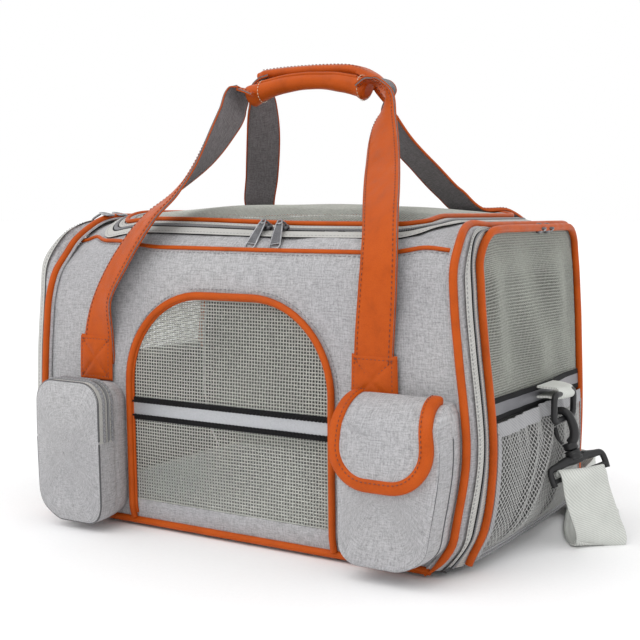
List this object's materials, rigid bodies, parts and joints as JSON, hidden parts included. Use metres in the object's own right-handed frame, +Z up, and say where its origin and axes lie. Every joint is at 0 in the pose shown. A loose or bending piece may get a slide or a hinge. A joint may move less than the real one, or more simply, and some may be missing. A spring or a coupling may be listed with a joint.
{
  "type": "pet carrier bag",
  "caption": "Soft-sided pet carrier with arched mesh window, zipped mesh top and end doors, front pockets, paired handles and a clip-on shoulder strap.",
  "frame": {"origin": "centre of the base, on the floor", "axes": "+Z up, +X to the bag's right end along its length, the front with the arch window and pockets faces -Y"},
  "size_m": [0.5102, 0.421, 0.4015],
  "materials": {
    "grey_heather": "woven heather polyester",
    "window_mesh": "coarse woven mesh",
    "pocket_net": "knitted net",
    "orange_leather": "smooth synthetic leather",
    "reflective": "silver reflective tape with black edges",
    "zipper_tape": "woven tape",
    "zipper_coil": "nylon coil",
    "gunmetal": "dark plated metal",
    "webbing": "ribbed polyester webbing",
    "black_plastic": "moulded acetal",
    "board": "stiff board",
    "fleece": "short plush"
  },
  "bodies": {
    "root": {"back_panel": "grey_heather", "base_board": "board", "base_panel": "grey_heather", "base_piping": "orange_leather", "end_bands": "grey_heather", "end_frame_piping": "orange_leather", "end_zipper_tapes": "zipper_tape", "flap_pocket_body": "grey_heather", "front_panel": "grey_heather", "front_reflective_strip": "reflective", "front_window_mesh": "window_mesh", "front_window_piping": "orange_leather", "handle_patches": "orange_leather", "left_swivel_base": "black_plastic", "padded_mat": "fleece", "shoulder_strap_stored": "webbing", "strap_adjuster": "black_plastic", "top_frame": "grey_heather", "top_seam_piping": "orange_leather", "top_zipper_tape": "zipper_tape", "zip_pocket_body": "grey_heather", "zipper_coils": "zipper_coil"},
    "front_handle": {"front_handle_straps": "orange_leather", "front_handle_grip": "orange_leather"},
    "back_handle": {"back_handle_straps": "orange_leather", "back_handle_grip": "orange_leather"},
    "top_door": {"top_door_mesh": "window_mesh", "top_door_piping": "orange_leather"},
    "top_slider_left": {"top_slider_left": "gunmetal"},
    "top_slider_right": {"top_slider_right": "gunmetal"},
    "top_pull_left": {"top_pull_left": "gunmetal"},
    "top_pull_right": {"top_pull_right": "gunmetal"},
    "left_door": {"left_door_panel": "grey_heather", "left_door_mesh": "window_mesh", "left_door_strip": "reflective", "left_door_piping": "orange_leather", "left_net_pocket": "pocket_net", "left_ring_tab": "webbing"},
    "right_door": {"right_door_panel": "grey_heather", "right_door_mesh": "window_mesh", "right_door_strip": "reflective", "right_door_piping": "orange_leather", "right_net_pocket": "pocket_net", "right_ring_tab": "webbing", "right_swivel_base": "black_plastic", "shoulder_strap_drop": "webbing"},
    "left_ring": {"left_strap_ring": "black_plastic"},
    "right_ring": {"right_strap_ring": "black_plastic"},
    "right_snap_hook": {"right_snap_hook": "black_plastic"},
    "right_hook_gate": {"right_hook_gate": "black_plastic"},
    "left_snap_hook": {"left_snap_hook": "black_plastic"},
    "left_hook_gate": {"left_hook_gate": "black_plastic"},
    "right_door_slider_front": {"right_door_slider_front": "gunmetal"},
    "right_door_slider_back": {"right_door_slider_back": "gunmetal"},
    "left_door_slider_front": {"left_door_slider_front": "gunmetal"},
    "left_door_slider_back": {"left_door_slider_back": "gunmetal"},
    "zip_pocket_cover": {"zip_pocket_cover": "grey_heather"},
    "zip_pocket_slider": {"zip_pocket_slider": "gunmetal"},
    "pocket_flap": {"pocket_flap": "grey_heather", "pocket_flap_trim": "orange_leather"}
  },
  "joints": [
    {"name": "front_handle_swing", "type": "hinge", "parent": "root", "child": "front_handle", "pos_m": [0, -0.1475, 0.165], "axis": [1, 0, 0], "range_deg": [0, 105]},
    {"name": "back_handle_swing", "type": "hinge", "parent": "root", "child": "back_handle", "pos_m": [0, 0.1475, 0.165], "axis": [1, 0, 0], "range_deg": [-105, 0]},
    {"name": "top_door_hinge", "type": "hinge", "parent": "root", "child": "top_door", "pos_m": [0, 0.103, 0.267], "axis": [1, 0, 0], "range_deg": [-105, 0]},
    {"name": "top_slider_left_slide", "type": "slide", "parent": "top_door", "child": "top_slider_left", "axis": [1, 0, 0], "range_m": [-0.095, 0]},
    {"name": "top_slider_right_slide", "type": "slide", "parent": "top_door", "child": "top_slider_right", "axis": [1, 0, 0], "range_m": [0, 0.05]},
    {"name": "top_pull_left_flip", "type": "hinge", "parent": "top_slider_left", "child": "top_pull_left", "pos_m": [0.02, -0.113, 0.2745], "axis": [1, 0, 0], "range_deg": [-150, 0]},
    {"name": "top_pull_right_flip", "type": "hinge", "parent": "top_slider_right", "child": "top_pull_right", "pos_m": [0.036, -0.113, 0.2745], "axis": [1, 0, 0], "range_deg": [-150, 0]},
    {"name": "right_door_hinge", "type": "hinge", "parent": "root", "child": "right_door", "pos_m": [0.204, 0, 0.008], "axis": [0, 1, 0], "range_deg": [0, 18]},
    {"name": "left_door_hinge", "type": "hinge", "parent": "root", "child": "left_door", "pos_m": [-0.204, 0, 0.008], "axis": [0, 1, 0], "range_deg": [-75, 0]},
    {"name": "left_ring_swing", "type": "hinge", "parent": "left_door", "child": "left_ring", "pos_m": [-0.232, 0, 0.125], "axis": [0, 1, 0], "range_deg": [-20, 150]},
    {"name": "right_ring_swing", "type": "hinge", "parent": "right_door", "child": "right_ring", "pos_m": [0.232, 0, 0.125], "axis": [0, 1, 0], "range_deg": [-4, 4]},
    {"name": "right_hook_swivel", "type": "hinge", "parent": "right_door", "child": "right_snap_hook", "pos_m": [0.25, 0, 0.057], "axis": [-0.3697, 0, 0.9291], "range_deg": [-12, 12]},
    {"name": "right_gate_press", "type": "hinge", "parent": "right_snap_hook", "child": "right_hook_gate", "pos_m": [0.23277, 0, 0.07974], "axis": [0, 1, 0], "range_deg": [0, 20], "stiffness_Nm_per_rad": 0.02, "springref_deg": -5.73},
    {"name": "left_hook_swivel", "type": "hinge", "parent": "root", "child": "left_snap_hook", "pos_m": [0.07, 0.206, 0.0073], "axis": [1, 0, 0], "continuous": true},
    {"name": "left_gate_press", "type": "hinge", "parent": "left_snap_hook", "child": "left_hook_gate", "pos_m": [0.0975, 0.1984, 0.0073], "axis": [0, 0, 1], "range_deg": [0, 20], "stiffness_Nm_per_rad": 0.02, "springref_deg": -5.73},
    {"name": "right_slider_front_slide", "type": "slide", "parent": "right_door", "child": "right_door_slider_front", "axis": [0, 1, 0], "range_m": [-0.08, 0]},
    {"name": "right_slider_back_slide", "type": "slide", "parent": "right_door", "child": "right_door_slider_back", "axis": [0, 1, 0], "range_m": [0, 0.04]},
    {"name": "left_slider_front_slide", "type": "slide", "parent": "left_door", "child": "left_door_slider_front", "axis": [0, 1, 0], "range_m": [-0.015, 0]},
    {"name": "left_slider_back_slide", "type": "slide", "parent": "left_door", "child": "left_door_slider_back", "axis": [0, 1, 0], "range_m": [0, 0.11]},
    {"name": "zip_pocket_cover_hinge", "type": "hinge", "parent": "root", "child": "zip_pocket_cover", "pos_m": [0, -0.185, 0.082], "axis": [1, 0, 0], "range_deg": [0, 50]},
    {"name": "zip_pocket_slider_slide", "type": "slide", "parent": "root", "child": "zip_pocket_slider", "axis": [0, 0, 1], "range_m": [0, 0.026]},
    {"name": "pocket_flap_hinge", "type": "hinge", "parent": "root", "child": "pocket_flap", "pos_m": [0, -0.151, 0.137], "axis": [1, 0, 0], "range_deg": [-88, 0]}
  ],
  "couplings": [
    {"joint": "back_handle_swing", "follows": "front_handle_swing", "ratio": -1},
    {"joint": "top_door_hinge", "follows": "front_handle_swing", "ratio": -1}
  ]
}
